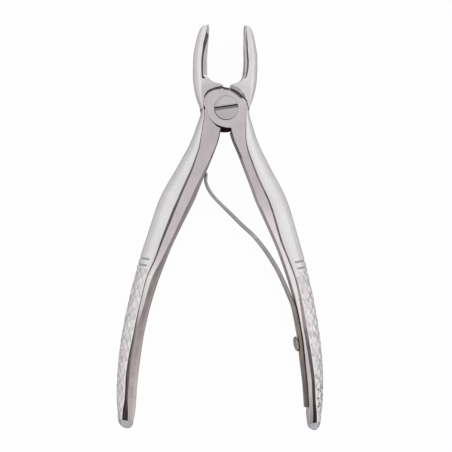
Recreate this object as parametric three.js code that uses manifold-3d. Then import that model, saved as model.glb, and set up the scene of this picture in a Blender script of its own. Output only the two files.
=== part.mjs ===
// Extraction forceps for children's teeth, with a leaf spring that opens the handles.
//
// Two forged arms cross in a lap joint and turn on a slotted screw. The front arm runs
// from the left beak to the right handle, the rear arm from the right beak to the left
// handle. Each arm is thinned to half its depth in a round disc where it passes the
// other one. A flat spring is screwed to the inside of the front arm's handle and its
// free end leans on the other handle.
//
// Millimetres. The forceps lie flat: +Z is up and is the hinge axis, +Y points to the
// beaks, +X to the right handle, and z = 0 is the surface on which they lie. Each arm is
// drawn with the tool closed, lying along Y, and is then turned to the open rest pose.

import * as THREE from 'three';
import { mergeVertices } from 'three/addons/utils/BufferGeometryUtils.js';
import Module from 'manifold-3d';

const wasm = await Module();
wasm.setup();

// Whole tool
const restHalfAngle = THREE.MathUtils.degToRad(10); // turn of each arm from closed to rest
const landHeight = 3.8; // middle plane to the flat ground lands and disc faces
const crestRise = 0.5; // how far beak roots and grips stand proud of the lands
const closedGap = 0.3; // what stays between the two arms' inner edges when closed

// Handles: lengths run down from the pivot, reaches run out from the closed middle line
const handleLength = 103;
const handleReach = 18.2;
const rearInset = 0.35; // how much thinner the rear handle is on its inner side
const flankWidth = 6; // widest rounded outer flank, seen from the front
const bevelWidth = 2.6; // widest bevel beside the inner face
const bevelSlope = 0.58; // depth of the bevel for each millimetre of its width
const landStepRun = 0.3; // width of the small step from flank to land
const leastLand = 0.4; // land that flank and bevel always leave between them
const handleEndRound = 1.6;
const endCapLength = 2.4; // where the land stops square and the full depth returns

// Two ring grooves above the rough grip
const grooveWidth = 0.8;
const grooveDepth = 0.35;
const groovePitch = 2;
const gripLength = 52.4; // from the first groove's middle to the handle's end

// Beaks: lengths run up from the pivot
const beakLength = 26.2;
const beakReach = 8.3;
const beakOffset = 0.25; // both beaks stand this far to the left of the handles' middle line
const beakTipHalfDepth = 2.3;
const beakFlankWidth = 2.4; // rounded outer side at the root
const beakBandWidth = 1.4; // bevel along the inner rim
const beakBandDrop = 0.8;
const gougeDepth = 1.3; // hollow in the face that holds the tooth

// Lap joint
const frontDiscRadius = 5.95;
const rearDiscRadius = 7.55;
const facingRadius = 7.2; // ground face around the screw, level with the lands
const throatFloor = 6.3; // top of the rear disc between the beaks, above the pivot
const lapGap = 0.3; // between the faces of the two discs
const shoulderGap = 0.25; // between a disc and the shoulder that it turns in
const beakShoulderGap = 0.75; // wider crescent at the right beak, in front
const waistAngle = THREE.MathUtils.degToRad(-5); // where handle meets beak root at rest
const waistGap = 0.3; // play between them: closed up, it is the stop for opening

// Pivot screw
const headRadius = 3.7;
const headThickness = 1.5;
const shankRadius = 2;
const boreGap = 0.3; // around a shank and under a head
const headSeatGap = 0.2; // around a sunk head
const slotWidth = 0.85;
const slotDepth = 0.6;
const slotAngle = THREE.MathUtils.degToRad(8);
const shankChamfer = 0.4;

// Leaf spring
const leafThickness = 1.1;
const leafWidth = 5; // across the handle, along the hinge axis
const leafTipWidth = 3.6;
const leafSeatGap = 0.2; // between leaf and handle
const leafEndGap = 7.4; // from the leaf's lower end to the handle's end
const leafHeldLength = 31.6; // what lies along the handle
const leafTipDown = 20.8; // free tip, below the pivot along the rear handle
const leafTipGap = 0.2; // between the tip and the rear handle

// Spring screw
const springScrewUp = 19.8; // above the leaf's lower end
const springHeadRadius = 2.35;
const springHeadHeight = 1.2;
const springHeadGap = 0.25; // between the head and the leaf
const springShankRadius = 1.2;
const springShankReach = 3.2; // into the handle
const springSlotWidth = 0.6;
const springSlotDepth = 0.5;

// Resolution and overruns
const roundSegments = 56;
const flankSteps = 6;
const gougeSteps = 4;
const overrun = 2; // how far a cutter passes the surface that it cuts
const wallRun = 0.08; // length over which a square wall is drawn

// Outlines: shares of length, then of reach. Shares of length start at the pivot.
const handleOuterShares = [
  [-0.03, 0.42], [0, 0.405], [0.02, 0.4], [0.04, 0.398], [0.06, 0.418], [0.097, 0.45], [0.136, 0.497],
  [0.175, 0.561], [0.214, 0.633], [0.252, 0.711], [0.291, 0.781], [0.33, 0.828], [0.369, 0.856],
  [0.447, 0.911], [0.524, 0.961], [0.602, 0.992], [0.68, 1.003], [0.757, 0.995], [0.835, 0.958],
  [0.874, 0.924], [0.913, 0.886], [0.951, 0.833], [1, 0.74],
];
const handleInnerShares = [
  [-0.03, -0.02], [0.07, -0.02], [0.1, -0.015], [0.136, 0.022], [0.175, 0.063], [0.214, 0.11],
  [0.252, 0.155], [0.291, 0.198], [0.33, 0.258], [0.369, 0.321], [0.408, 0.381], [0.447, 0.436],
  [0.485, 0.477], [0.524, 0.516], [0.563, 0.548], [0.602, 0.574], [0.641, 0.592], [0.68, 0.6],
  [0.718, 0.604], [0.757, 0.595], [0.796, 0.582], [0.835, 0.568], [0.874, 0.548], [0.913, 0.52],
  [0.951, 0.501], [1, 0.501],
];
const flankShares = [
  [-0.03, 0.1], [0.01, 0.12], [0.04, 0.24], [0.1, 0.52], [0.135, 0.67], [0.175, 0.82], [0.23, 0.92],
  [0.29, 0.98], [0.36, 0.97], [0.43, 0.92], [0.49, 0.85], [0.55, 0.7], [0.61, 0.68], [0.67, 0.63],
  [0.74, 0.6], [0.8, 0.53], [0.86, 0.47], [0.92, 0.41], [0.96, 0.32], [1, 0.24],
];
const rearBevelShares = [
  [-0.03, 0.04], [0.07, 0.08], [0.13, 0.3], [0.2, 0.45], [0.29, 0.52], [0.43, 0.44], [0.49, 0.6],
  [0.55, 0.85], [0.67, 0.92], [0.8, 1.04], [0.94, 1], [1, 0.7],
];
const frontBevelShares = [
  [-0.03, 0.04], [0.07, 0.08], [0.13, 0.2], [0.2, 0.34], [0.43, 0.38], [0.55, 0.42], [1, 0.44],
];
const setbackShares = [[-0.03, 0.8], [0.07, 0.8], [0.14, 1], [1, 1]];
const crestShares = [[-0.03, 0], [0.02, 0], [0.3, 1], [1, 1]];
const beakOuterShares = [
  [-0.06, 0.92], [0.02, 0.92], [0.075, 0.938], [0.13, 0.977], [0.19, 1.003], [0.25, 1.018], [0.32, 1.018],
  [0.38, 1.01], [0.45, 0.982], [0.53, 0.945], [0.6, 0.905], [0.68, 0.853], [0.75, 0.775],
  [0.81, 0.703], [0.87, 0.625], [0.92, 0.547], [0.96, 0.465], [0.985, 0.39], [1, 0.31],
];
const beakInnerShares = [
  [-0.06, 0], [0.27, 0], [0.29, 0.055], [0.305, 0.17], [0.325, 0.285], [0.355, 0.39], [0.39, 0.437],
  [0.42, 0.447], [0.47, 0.434], [0.53, 0.408], [0.6, 0.368], [0.68, 0.308], [0.75, 0.256],
  [0.83, 0.192], [0.9, 0.138], [0.95, 0.105], [1, 0.1],
];
const beakTaperShare = 0.28; // where the beak begins to thin towards its tip
const beakFlankShares = [
  [-0.06, 0.2], [0.02, 0.22], [0.2, 0.6], [0.4, 1], [0.75, 0.95], [0.92, 0.6], [1, 0.2],
];
const bandShares = [[-0.06, 0.04], [0.3, 0.04], [0.36, 0.5], [0.44, 1], [0.85, 0.85], [0.95, 0.5], [1, 0.25]];
const gougeShares = [[-0.06, 0.02], [0.36, 0.02], [0.5, 0.75], [0.7, 1], [0.88, 0.8], [0.96, 0.4], [1, 0.1]];
const leafFreeShares = [ // along, then across, from where it lifts to its tip
  [0.074, 0.039], [0.191, 0.103], [0.295, 0.172], [0.386, 0.257], [0.48, 0.365], [0.565, 0.498],
  [0.653, 0.647], [0.743, 0.786], [0.791, 0.863], [0.833, 0.93], [0.876, 0.987], [0.914, 1.027],
  [0.95, 1.038],
];

const crestHeight = landHeight + crestRise;
const restHeight = crestHeight; // middle plane above the surface
const handleSetback = leafThickness + leafSeatGap; // the front handle is thinner by this
const firstGroove = handleLength - gripLength; // below the pivot, as are the next three
const leafEnd = handleLength - leafEndGap;
const leafLift = leafEnd - leafHeldLength;
const springScrewDown = leafEnd - springScrewUp;
const frontShoulderRadius = rearDiscRadius + shoulderGap;
const rearShoulderRadius = frontDiscRadius + shoulderGap;
const rearBeakShoulderRadius = frontDiscRadius + beakShoulderGap;
const halfWaist = waistGap / 2 / rearDiscRadius; // angle of half the play
const handleWaist = waistAngle - restHalfAngle - halfWaist;
const beakWaist = Math.PI - waistAngle - restHalfAngle - halfWaist;

// Value at a place in a table of [place, value], on a smooth cubic through its points
function smooth(table, place) {
  const last = table.length - 1;
  const at = THREE.MathUtils.clamp(place, table[0][0], table[last][0]);
  let i = 0;
  while (i < last - 1 && table[i + 1][0] < at) i += 1;
  const slope = (a, b) => (table[b][1] - table[a][1]) / (table[b][0] - table[a][0]);
  const run = table[i + 1][0] - table[i][0];
  const t = (at - table[i][0]) / run;
  const start = slope(Math.max(i - 1, 0), i + 1) * run;
  const end = slope(i, Math.min(i + 2, last)) * run;
  const p = table[i][1];
  const q = table[i + 1][1];
  const t2 = t * t;
  const t3 = t2 * t;
  return p * (2 * t3 - 3 * t2 + 1) + start * (t3 - 2 * t2 + t) + q * (3 * t2 - 2 * t3) + end * (t3 - t2);
}

// Value at a place in the same kind of table, on straight lines between its points
function straight(table, place) {
  const next = Math.max(1, table.findIndex((row) => row[0] >= place));
  const [a, b] = [table[next - 1], table[next]];
  return THREE.MathUtils.mapLinear(place, a[0], b[0], a[1], b[1]);
}

// Evenly spaced places from start to end, both included
function places(start, end, steps) {
  return Array.from({ length: steps + 1 }, (_, i) => THREE.MathUtils.lerp(start, end, i / steps));
}

// Closed solid through rings of points that all have the same count
function skin(rings) {
  const count = rings[0].length;
  const positions = rings.flat().flatMap((p) => [p.x, p.y, p.z]);
  const faces = [];
  for (let r = 0; r < rings.length - 1; r += 1) {
    for (let k = 0; k < count; k += 1) {
      const a = r * count + k;
      const b = r * count + ((k + 1) % count);
      faces.push(a, b, b + count, a, b + count, a + count);
    }
  }
  const cap = (ring, first, flip) => {
    const across = new THREE.Vector3().subVectors(ring[Math.floor(count / 2)], ring[0]).normalize();
    const normal = ring.reduce((sum, p, k) => {
      const q = ring[(k + 1) % count];
      return sum.add(new THREE.Vector3().crossVectors(p, q));
    }, new THREE.Vector3()).normalize();
    const up = new THREE.Vector3().crossVectors(normal, across);
    const flat = ring.map((p) => new THREE.Vector2(p.dot(across), p.dot(up)));
    for (const [a, b, c] of THREE.ShapeUtils.triangulateShape(flat, [])) {
      faces.push(...(flip ? [first + a, first + c, first + b] : [first + a, first + b, first + c]));
    }
  };
  cap(rings[0], 0, true);
  cap(rings[rings.length - 1], (rings.length - 1) * count, false);
  return outward(positions, faces);
}

// Geometry with its faces turned outward, whichever way they were listed
function outward(positions, faces) {
  let volume = 0;
  const point = (i) => new THREE.Vector3().fromArray(positions, i * 3);
  for (let f = 0; f < faces.length; f += 3) {
    volume += point(faces[f]).dot(point(faces[f + 1]).cross(point(faces[f + 2])));
  }
  const turned = volume < 0 ? faces.toReversed() : faces;
  const geometry = new THREE.BufferGeometry();
  geometry.setAttribute('position', new THREE.Float32BufferAttribute(positions, 3));
  geometry.setIndex(turned);
  return geometry;
}

// Geometry to a solid that can be joined and cut
function solid(geometry) {
  const bare = geometry.clone();
  bare.deleteAttribute('normal');
  bare.deleteAttribute('uv');
  const merged = mergeVertices(bare);
  return new wasm.Manifold(new wasm.Mesh({
    numProp: 3,
    vertProperties: new Float32Array(merged.attributes.position.array),
    triVerts: new Uint32Array(merged.index.array),
  }));
}

// Solid back to a geometry
function geometryOf(body) {
  const mesh = body.getMesh();
  const geometry = new THREE.BufferGeometry();
  geometry.setAttribute('position', new THREE.BufferAttribute(new Float32Array(mesh.vertProperties), 3));
  geometry.setIndex(new THREE.BufferAttribute(new Uint32Array(mesh.triVerts), 1));
  const faceted = geometry.toNonIndexed();
  faceted.computeVertexNormals();
  return faceted;
}

// Upright round bar about the hinge axis, from one height to another
function bar(radius, low, high) {
  const geometry = new THREE.CylinderGeometry(radius, radius, high - low, roundSegments);
  geometry.rotateX(Math.PI / 2);
  geometry.translate(0, 0, (low + high) / 2);
  return solid(geometry);
}

// Upright wedge about the hinge axis between two angles, through the whole depth
function sector(fromAngle, toAngle) {
  const reach = beakReach + handleReach;
  const shape = new THREE.Shape();
  shape.moveTo(0, 0);
  shape.absarc(0, 0, reach, fromAngle, toAngle, false);
  shape.closePath();
  const depth = 2 * (crestHeight + overrun);
  const curveSegments = roundSegments / 2;
  const geometry = new THREE.ExtrudeGeometry(shape, { depth, bevelEnabled: false, curveSegments });
  geometry.translate(0, 0, -depth / 2);
  return solid(geometry);
}

// Flat-sided block between two corners
function block(low, high) {
  const geometry = new THREE.BoxGeometry(high.x - low.x, high.y - low.y, high.z - low.z);
  geometry.translate((low.x + high.x) / 2, (low.y + high.y) / 2, (low.z + high.z) / 2);
  return solid(geometry);
}

// Half outline, from the outside to the inside at z > 0, made whole by its mirror image
function wholeSection(half, y) {
  const upper = half.map(([x, z]) => new THREE.Vector3(x, y, z));
  const lower = half.filter(([, z]) => z > 0).map(([x, z]) => new THREE.Vector3(x, y, -z)).toReversed();
  return [...upper, ...lower];
}

// Line from which both handles' inner edges are set back, at a distance below the pivot, tool closed
const handleInner = (down) => handleReach * smooth(handleInnerShares, down / handleLength);

// Cross-section of a handle at a distance below the pivot
function handleSection(down, bevelShares, setback) {
  const share = down / handleLength;
  const grooves = [0, 1].map((n) => firstGroove + n * groovePitch);
  const inGroove = grooves.some((centre) => Math.abs(down - centre) < grooveWidth / 3);
  const outer = handleReach * smooth(handleOuterShares, share) - (inGroove ? grooveDepth : 0);
  const inner = handleInner(down) + closedGap / 2 + setback * straight(setbackShares, share);
  const wantedFlank = flankWidth * smooth(flankShares, share) - (inGroove ? grooveDepth : 0);
  const wantedBevel = bevelWidth * smooth(bevelShares, share);
  const room = outer - inner - landStepRun - leastLand;
  const fit = Math.min(1, room / (wantedFlank + wantedBevel));
  const flank = wantedFlank * fit;
  const bevel = wantedBevel * fit;
  const crest = landHeight + crestRise * straight(crestShares, share) - (inGroove ? grooveDepth : 0);
  const inCap = down > handleLength - endCapLength;
  const land = inCap ? crest : Math.min(landHeight, crest);
  const inside = landHeight - bevel * bevelSlope;
  const half = places(0, Math.PI / 2, flankSteps).map((turn) => [
    outer - flank * (1 - Math.cos(turn)),
    crest * Math.sin(turn),
  ]);
  half.push([outer - flank - landStepRun, land], [inner + bevel, land], [inner, inside]);
  const past = Math.max(0, down - (handleLength - handleEndRound));
  const inset = handleEndRound - Math.sqrt(Math.max(0, handleEndRound ** 2 - past ** 2));
  const middle = (outer + inner) / 2;
  const shrinkAcross = 1 - inset / ((outer - inner) / 2);
  const shrinkDepth = 1 - inset / crest;
  return half.map(([x, z]) => [middle + (x - middle) * shrinkAcross, z * shrinkDepth]);
}

// Handle: a bar swept down from the waist, with ground lands and a rounded outer flank
function handle(bevelShares, setback) {
  const start = -overrun;
  const cap = handleLength - endCapLength;
  const round = handleLength - handleEndRound;
  const grooveSides = [0, 1].flatMap((n) => {
    const centre = firstGroove + n * groovePitch;
    return [-1 / 2, -1 / 4, 1 / 4, 1 / 2].map((side) => centre + side * grooveWidth);
  });
  const stations = [
    ...places(start, firstGroove - grooveWidth, 22),
    ...grooveSides,
    ...places(firstGroove + groovePitch + grooveWidth, cap - wallRun, 18),
    cap + wallRun / 4,
    ...[0, 0.45, 0.75, 0.92, 0.99].map((share) => round + share * handleEndRound),
  ];
  return solid(skin(stations.map((down) => wholeSection(handleSection(down, bevelShares, setback), -down))));
}

// Cross-section of a beak at a distance above the pivot, on the left of the middle line
function beakSection(up) {
  const share = up / beakLength;
  const outer = beakReach * smooth(beakOuterShares, share);
  const inner = closedGap / 2 + beakReach * smooth(beakInnerShares, share);
  const taper = Math.max(0, (share - beakTaperShare) / (1 - beakTaperShare));
  const depth = THREE.MathUtils.lerp(crestHeight, beakTipHalfDepth, taper ** 1.3);
  const room = outer - inner;
  const band = Math.min(beakBandWidth * smooth(bandShares, share), room / 2);
  const flank = Math.min(beakFlankWidth * smooth(beakFlankShares, share), room / 2);
  const rim = depth - beakBandDrop * (band / beakBandWidth);
  const gouge = Math.min(gougeDepth * smooth(gougeShares, share), room / 2);
  const half = places(0, Math.PI / 2, flankSteps).map((turn) => [
    -outer + flank * (1 - Math.cos(turn)),
    depth * Math.sin(turn),
  ]);
  half.push([-inner - band, depth]);
  for (const turn of places(0, Math.PI / 2, gougeSteps)) {
    half.push([-inner - gouge * Math.sin(turn), rim * Math.cos(turn)]);
  }
  half[half.length - 1][1] = 0;
  return half;
}

// Beak: straight claw that tapers to its tip, hollowed on the side that holds the tooth
function beak() {
  const shares = [
    -0.06, 0, 0.06, 0.12, 0.18, 0.24, 0.27, 0.285, 0.3, 0.315, 0.335, 0.36, 0.39, 0.42, 0.46, 0.5, 0.55,
    0.6, 0.65, 0.7, 0.75, 0.8, 0.85, 0.89, 0.92, 0.945, 0.965, 0.98, 0.992, 1,
  ];
  const rings = shares.map((share) => wholeSection(beakSection(share * beakLength), share * beakLength));
  return solid(skin(rings));
}

// Arm drawn as the front one: left beak, right handle, disc in the upper half
function arm({ discRadius, discTop, pocket, bevelShares, setback, beakShift }) {
  const blank = handle(bevelShares, setback)
    .subtract(sector(handleWaist, handleWaist + Math.PI))
    .add(beak().translate([beakShift, 0, 0]).subtract(sector(beakWaist, beakWaist + Math.PI)));
  const roomy = discRadius + beakReach + handleReach;
  const top = block(
    new THREE.Vector3(-roomy, discTop, -crestHeight - overrun),
    new THREE.Vector3(roomy, roomy, crestHeight + overrun),
  );
  const disc = bar(discRadius, lapGap / 2, landHeight).subtract(top);
  const faced = bar(facingRadius, landHeight, crestHeight + overrun);
  return blank.subtract(pocket).subtract(faced).add(disc);
}

// Front arm, with a sunk seat for the screw head and a seat for the spring
function frontArm() {
  const pocket = bar(frontShoulderRadius, -crestHeight - overrun, lapGap / 2);
  return arm({
    discRadius: frontDiscRadius,
    discTop: frontDiscRadius,
    pocket,
    bevelShares: frontBevelShares,
    setback: handleSetback,
    beakShift: -beakOffset,
  })
    .subtract(bar(shankRadius + boreGap, -crestHeight - overrun, crestHeight + overrun))
    .subtract(bar(headRadius + headSeatGap, landHeight - headThickness - boreGap, crestHeight + overrun))
    .subtract(springScrewBore());
}

// Rear arm, drawn face up like the front one and turned over later
function rearArm() {
  const beakSide = bar(rearBeakShoulderRadius, -crestHeight - overrun, lapGap / 2)
    .intersect(sector(0, Math.PI));
  const pocket = bar(rearShoulderRadius, -crestHeight - overrun, lapGap / 2).add(beakSide);
  return arm({
    discRadius: rearDiscRadius,
    discTop: throatFloor,
    pocket,
    bevelShares: rearBevelShares,
    setback: rearInset,
    beakShift: beakOffset,
  }).subtract(bar(shankRadius + boreGap, -crestHeight - overrun, crestHeight + overrun));
}

// Pivot screw: flush slotted head, plain shank, flat end that reaches the surface
function pivotScrew() {
  const top = landHeight;
  const under = landHeight - headThickness;
  const end = -crestHeight;
  const profile = [
    [0, end],
    [shankRadius - shankChamfer, end],
    [shankRadius, end + shankChamfer],
    [shankRadius, under],
    [headRadius, under],
    [headRadius, top - shankChamfer / 2],
    [headRadius - shankChamfer / 2, top],
    [0, top],
  ].map(([x, y]) => new THREE.Vector2(x, y));
  const turned = new THREE.LatheGeometry(profile, roundSegments);
  turned.rotateX(Math.PI / 2);
  const slot = new THREE.BoxGeometry(2 * (headRadius + overrun), slotWidth, 2 * slotDepth);
  slot.rotateZ(slotAngle);
  slot.translate(0, 0, top);
  return solid(turned).subtract(solid(slot));
}

// Point of the rear handle's inner face at rest, in the closed frame of the front arm
function rearFace(down) {
  const inset = rearInset * straight(setbackShares, down / handleLength);
  const point = new THREE.Vector2(-handleInner(down) - closedGap / 2 - inset, -down);
  return point.rotateAround(new THREE.Vector2(), -2 * restHalfAngle);
}

// Middle line of the leaf spring in the closed frame of the front arm, end to tip
function leafLine() {
  const onHandle = (down) => new THREE.Vector2(handleInner(down) + closedGap / 2 + leafThickness / 2, -down);
  const touched = rearFace(leafTipDown);
  const face = rearFace(leafTipDown + overrun).sub(touched).normalize();
  const away = new THREE.Vector2(-face.y, face.x).multiplyScalar(leafThickness / 2 + leafTipGap);
  const tip = away.add(touched);
  const lift = onHandle(leafLift);
  const free = leafFreeShares.map(([along, across]) => new THREE.Vector2(
    THREE.MathUtils.lerp(lift.x, tip.x, across),
    THREE.MathUtils.lerp(lift.y, tip.y, along),
  ));
  return new THREE.SplineCurve([...places(leafEnd, leafLift, 9).map(onHandle), ...free, tip]);
}

// Leaf spring: one strip, bent in its thin direction, narrower at its free end
function leafSpring() {
  const line = leafLine();
  const steps = 84;
  const rings = places(0, 1, steps).map((share) => {
    const at = line.getPoint(share);
    const along = line.getTangent(share);
    const side = new THREE.Vector2(-along.y, along.x).multiplyScalar(leafThickness / 2);
    const free = THREE.MathUtils.smoothstep(share, 0.45, 1);
    const half = THREE.MathUtils.lerp(leafWidth, leafTipWidth, free) / 2;
    return [[1, 1], [-1, 1], [-1, -1], [1, -1]].map(([s, z]) => (
      new THREE.Vector3(at.x + s * side.x, at.y + s * side.y, z * half)
    ));
  });
  return solid(skin(rings)).subtract(springScrewShape(springShankRadius + boreGap, springShankReach, 0));
}

// Round shape on the spring screw's axis: a shank that runs into the handle and a head
function springScrewShape(radius, reach, dome) {
  const profile = [[0, -overrun], [radius, -overrun], [radius, reach], [0, reach]];
  if (dome > 0) {
    const edge = dome / 3;
    const arc = places(Math.PI / 2, 0, 6).map((turn) => [
      springHeadRadius * Math.cos(turn),
      -edge - (dome - edge) * Math.sin(turn),
    ]);
    arc[0][0] = 0;
    profile.splice(0, 2, ...arc, [springHeadRadius, 0], [radius, 0]);
  }
  const turned = new THREE.LatheGeometry(profile.map(([x, y]) => new THREE.Vector2(x, y)), roundSegments / 2);
  return solid(onSpringScrewAxis(turned));
}

// Moves a shape from the Y axis to the spring screw's axis, Y running into the handle
function onSpringScrewAxis(geometry) {
  const ahead = handleInner(springScrewDown - overrun);
  const behind = handleInner(springScrewDown + overrun);
  const lean = Math.atan2(ahead - behind, 2 * overrun);
  geometry.rotateZ(-Math.PI / 2 + lean);
  geometry.translate(handleInner(springScrewDown) + closedGap / 2, -springScrewDown, 0);
  return geometry;
}

// Blind bore in the handle for the spring screw
function springScrewBore() {
  return springScrewShape(springShankRadius + boreGap, springShankReach + boreGap, 0);
}

// Spring screw: domed slotted head on the leaf, shank in the handle
function springScrew() {
  const slot = new THREE.BoxGeometry(2 * springHeadRadius + overrun, 2 * springSlotDepth, springSlotWidth);
  slot.translate(0, -springHeadHeight, 0);
  const shape = springScrewShape(springShankRadius, springShankReach, springHeadHeight);
  const cut = solid(onSpringScrewAxis(slot));
  return shape.subtract(cut).translate([-springHeadGap, 0, 0]);
}

// Mesh with its own steel
function piece(name, body, color, roughness) {
  const material = new THREE.MeshStandardMaterial({ color, roughness, metalness: 1 });
  const mesh = new THREE.Mesh(geometryOf(body), material);
  mesh.name = name;
  return mesh;
}

const front = new THREE.Group();
front.rotation.z = restHalfAngle;
front.add(piece('front_arm', frontArm(), 0xcfc8ca, 0.3));
front.add(piece('leaf_spring', leafSpring(), 0x969491, 0.4));
front.add(piece('spring_screw', springScrew(), 0xb8b4b2, 0.3));

const rear = new THREE.Group();
rear.rotation.z = -restHalfAngle;
const rearPiece = piece('rear_arm', rearArm(), 0xcfc8ca, 0.3);
rearPiece.rotation.y = Math.PI;
rear.add(rearPiece);
rear.add(piece('pivot_screw', pivotScrew(), 0xc4bdbf, 0.35));

const group = new THREE.Group();
group.position.z = restHeight;
group.add(front, rear);

export default group;
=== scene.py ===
import math

import bpy
import numpy as np
from mathutils import Matrix, Vector


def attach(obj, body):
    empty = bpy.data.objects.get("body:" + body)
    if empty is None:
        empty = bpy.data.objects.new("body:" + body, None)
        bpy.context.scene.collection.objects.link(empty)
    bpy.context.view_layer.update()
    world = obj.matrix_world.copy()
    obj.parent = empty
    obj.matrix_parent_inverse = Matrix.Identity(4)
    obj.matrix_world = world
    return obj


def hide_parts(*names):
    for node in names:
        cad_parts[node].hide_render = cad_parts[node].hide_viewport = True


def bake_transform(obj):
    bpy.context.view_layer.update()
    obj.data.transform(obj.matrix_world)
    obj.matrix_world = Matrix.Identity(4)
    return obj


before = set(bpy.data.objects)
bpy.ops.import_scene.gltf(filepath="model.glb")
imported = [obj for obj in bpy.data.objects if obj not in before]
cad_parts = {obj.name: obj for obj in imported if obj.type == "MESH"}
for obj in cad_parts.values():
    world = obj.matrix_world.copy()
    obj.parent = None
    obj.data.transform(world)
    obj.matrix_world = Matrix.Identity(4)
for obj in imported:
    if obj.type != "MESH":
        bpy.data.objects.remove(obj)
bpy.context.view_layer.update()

# shapes are worked out in millimetres, each arm with the tool closed and z = 0 in its middle plane,
# and are turned to the open rest pose, lifted and scaled to metres at the end
metres = 0.001
tool = {
    "openHalf": math.radians(10),   # turn of each arm from closed to rest
    "middle": 4.3,                  # height of the middle plane
    "land": 3.8,                    # middle plane to the flat ground lands
    "crest": 4.298,                 # middle plane to the crests of beak roots and grips
    "closedGap": 0.3,
    "lapGap": 0.3,
}
halfGap = tool["closedGap"] / 2         # from the tool's middle line to an arm's inner edge, closed


# smooth curve through a table of (place, value): a cubic whose slope at a point is that between the two
# points beside it
def along(table, place):
    table = np.array(table, float)
    last = len(table) - 1
    at = np.clip(place, table[0, 0], table[-1, 0])
    i = np.searchsorted(table[1:-1, 0], at, side="left")

    def slope(a, b):
        return (table[b, 1] - table[a, 1]) / (table[b, 0] - table[a, 0])

    run = table[i + 1, 0] - table[i, 0]
    t = (at - table[i, 0]) / run
    start = slope(np.maximum(i - 1, 0), i + 1) * run
    end = slope(i, np.minimum(i + 2, last)) * run
    p, q = table[i, 1], table[i + 1, 1]
    risen = 3 * t**2 - 2 * t**3
    return p * (1 - risen) + q * risen + start * (t**3 - 2 * t**2 + t) + end * (t**3 - t**2)


# same kind of table on straight lines
def straight(table, place):
    table = np.array(table, float)
    return np.interp(place, table[:, 0], table[:, 1])


# 0 before start, 1 after end, and the curve 3t^2 - 2t^3 between
def ease(start, end, value):
    t = np.clip((value - start) / (end - start), 0, 1)
    return t * t * (3 - 2 * t)


# object around a mesh of points and faces, with a zone number on each face
def body(name, points, faces, zones):
    mesh = bpy.data.meshes.new(name)
    mesh.from_pydata(np.asarray(points).tolist(), [], faces)
    mesh.polygons.foreach_set("material_index", np.asarray(zones, np.int32))
    mesh.update()
    made = bpy.data.objects.new(name, mesh)
    bpy.context.collection.objects.link(made)
    return made


# points (x, y, z) from three arrays whose shapes fit together
def ringsOf(x, y, z):
    return np.stack(np.broadcast_arrays(x, y, z), axis=-1)


# closed skin over rings (rings, around, 3): a quad between each two neighbours and one flat face at either
# end, turned outward by the sign of the volume, a sixth of the sum of p0 . (p1 x p2) over its triangles
def skin(name, rings, zones, endZones=(0, 0)):
    count, around = rings.shape[:2]
    points = rings.reshape(-1, 3)
    first = np.arange((count - 1) * around).reshape(count - 1, around)
    beside = np.roll(first, -1, axis=1)
    quads = np.stack([first, beside, beside + around, first + around], axis=-1).reshape(-1, 4)
    low, high = np.arange(around)[::-1], np.arange((count - 1) * around, count * around)
    arms = points - points.mean(axis=0)
    volume = 0.0
    for a, b, c in ((0, 1, 2), (0, 2, 3)):
        volume += (arms[quads[:, a]] * np.cross(arms[quads[:, b]], arms[quads[:, c]])).sum()
    for end in (low, high):
        volume += (arms[end[0]] * np.cross(arms[end[1:-1]], arms[end[2:]])).sum()
    if volume < 0:
        quads, low, high = quads[:, ::-1], low[::-1], high[::-1]
    zones = np.broadcast_to(zones, (count - 1, around)).reshape(-1)
    return body(name, points, quads.tolist() + [low.tolist(), high.tolist()], [*zones, *endZones])


# angles of the points around anything turned, from -pi to pi
turnAngles = np.linspace(-math.pi, math.pi, 180, endpoint=False)


# profile of (radius, height) turned about the hinge axis, where either may also be a row with one for each
# angle; zones has a number, or a row of them, for each stretch of the profile, endZones one for either end
def turned(name, profile, zones, endZones=(0, 0)):
    def rows(values):
        return np.array([np.broadcast_to(value, len(turnAngles)) for value in values])

    radii, heights = (rows(values) for values in zip(*profile))
    rings = ringsOf(radii * np.cos(turnAngles), radii * np.sin(turnAngles), heights)
    zones = rows(zones)
    return skin(name, rings, zones, endZones)


# upright prism over an outline of (x, y), from one height to another
def prism(name, outline, low, high, zone=0):
    outline = np.array(outline, float)
    rings = np.stack([np.column_stack([outline, np.full(len(outline), z)]) for z in (low, high)])
    return skin(name, rings, zone, (zone, zone))


# cuts other bodies from the first, or joins them to it, in the order given
def shaped(first, *steps):
    for operation, other in steps:
        modifier = first.modifiers.new("shape", "BOOLEAN")
        modifier.operation = operation
        modifier.solver = "MANIFOLD"
        modifier.object = other
    evaluated = first.evaluated_get(bpy.context.evaluated_depsgraph_get())
    mesh = bpy.data.meshes.new_from_object(evaluated)
    first.modifiers.clear()
    spare = first.data
    first.data = mesh
    bpy.data.meshes.remove(spare)
    for other in {other for _, other in steps}:
        spare = other.data
        bpy.data.objects.remove(other)
        bpy.data.meshes.remove(spare)
    return first


# points of a mesh as rows of (x, y, z)
def pointsOf(mesh):
    flat = np.empty(len(mesh.vertices) * 3)
    mesh.vertices.foreach_get("co", flat)
    return flat.reshape(-1, 3)


# turn by angle about the hinge axis: x' = x cos - y sin, y' = x sin + y cos
def spun(points, angle):
    c, s = math.cos(angle), math.sin(angle)
    x, y, z = points.T
    return np.column_stack([c * x - s * y, s * x + c * y, z])


# from the closed frame of an arm to the open rest pose in metres; the rear arm is turned over first
def atRest(points, rear=False):
    if rear:
        points = points * np.array([-1, 1, -1])
    points = spun(points, -tool["openHalf"] if rear else tool["openHalf"])
    return (points + np.array([0, 0, tool["middle"]])) * metres


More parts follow.
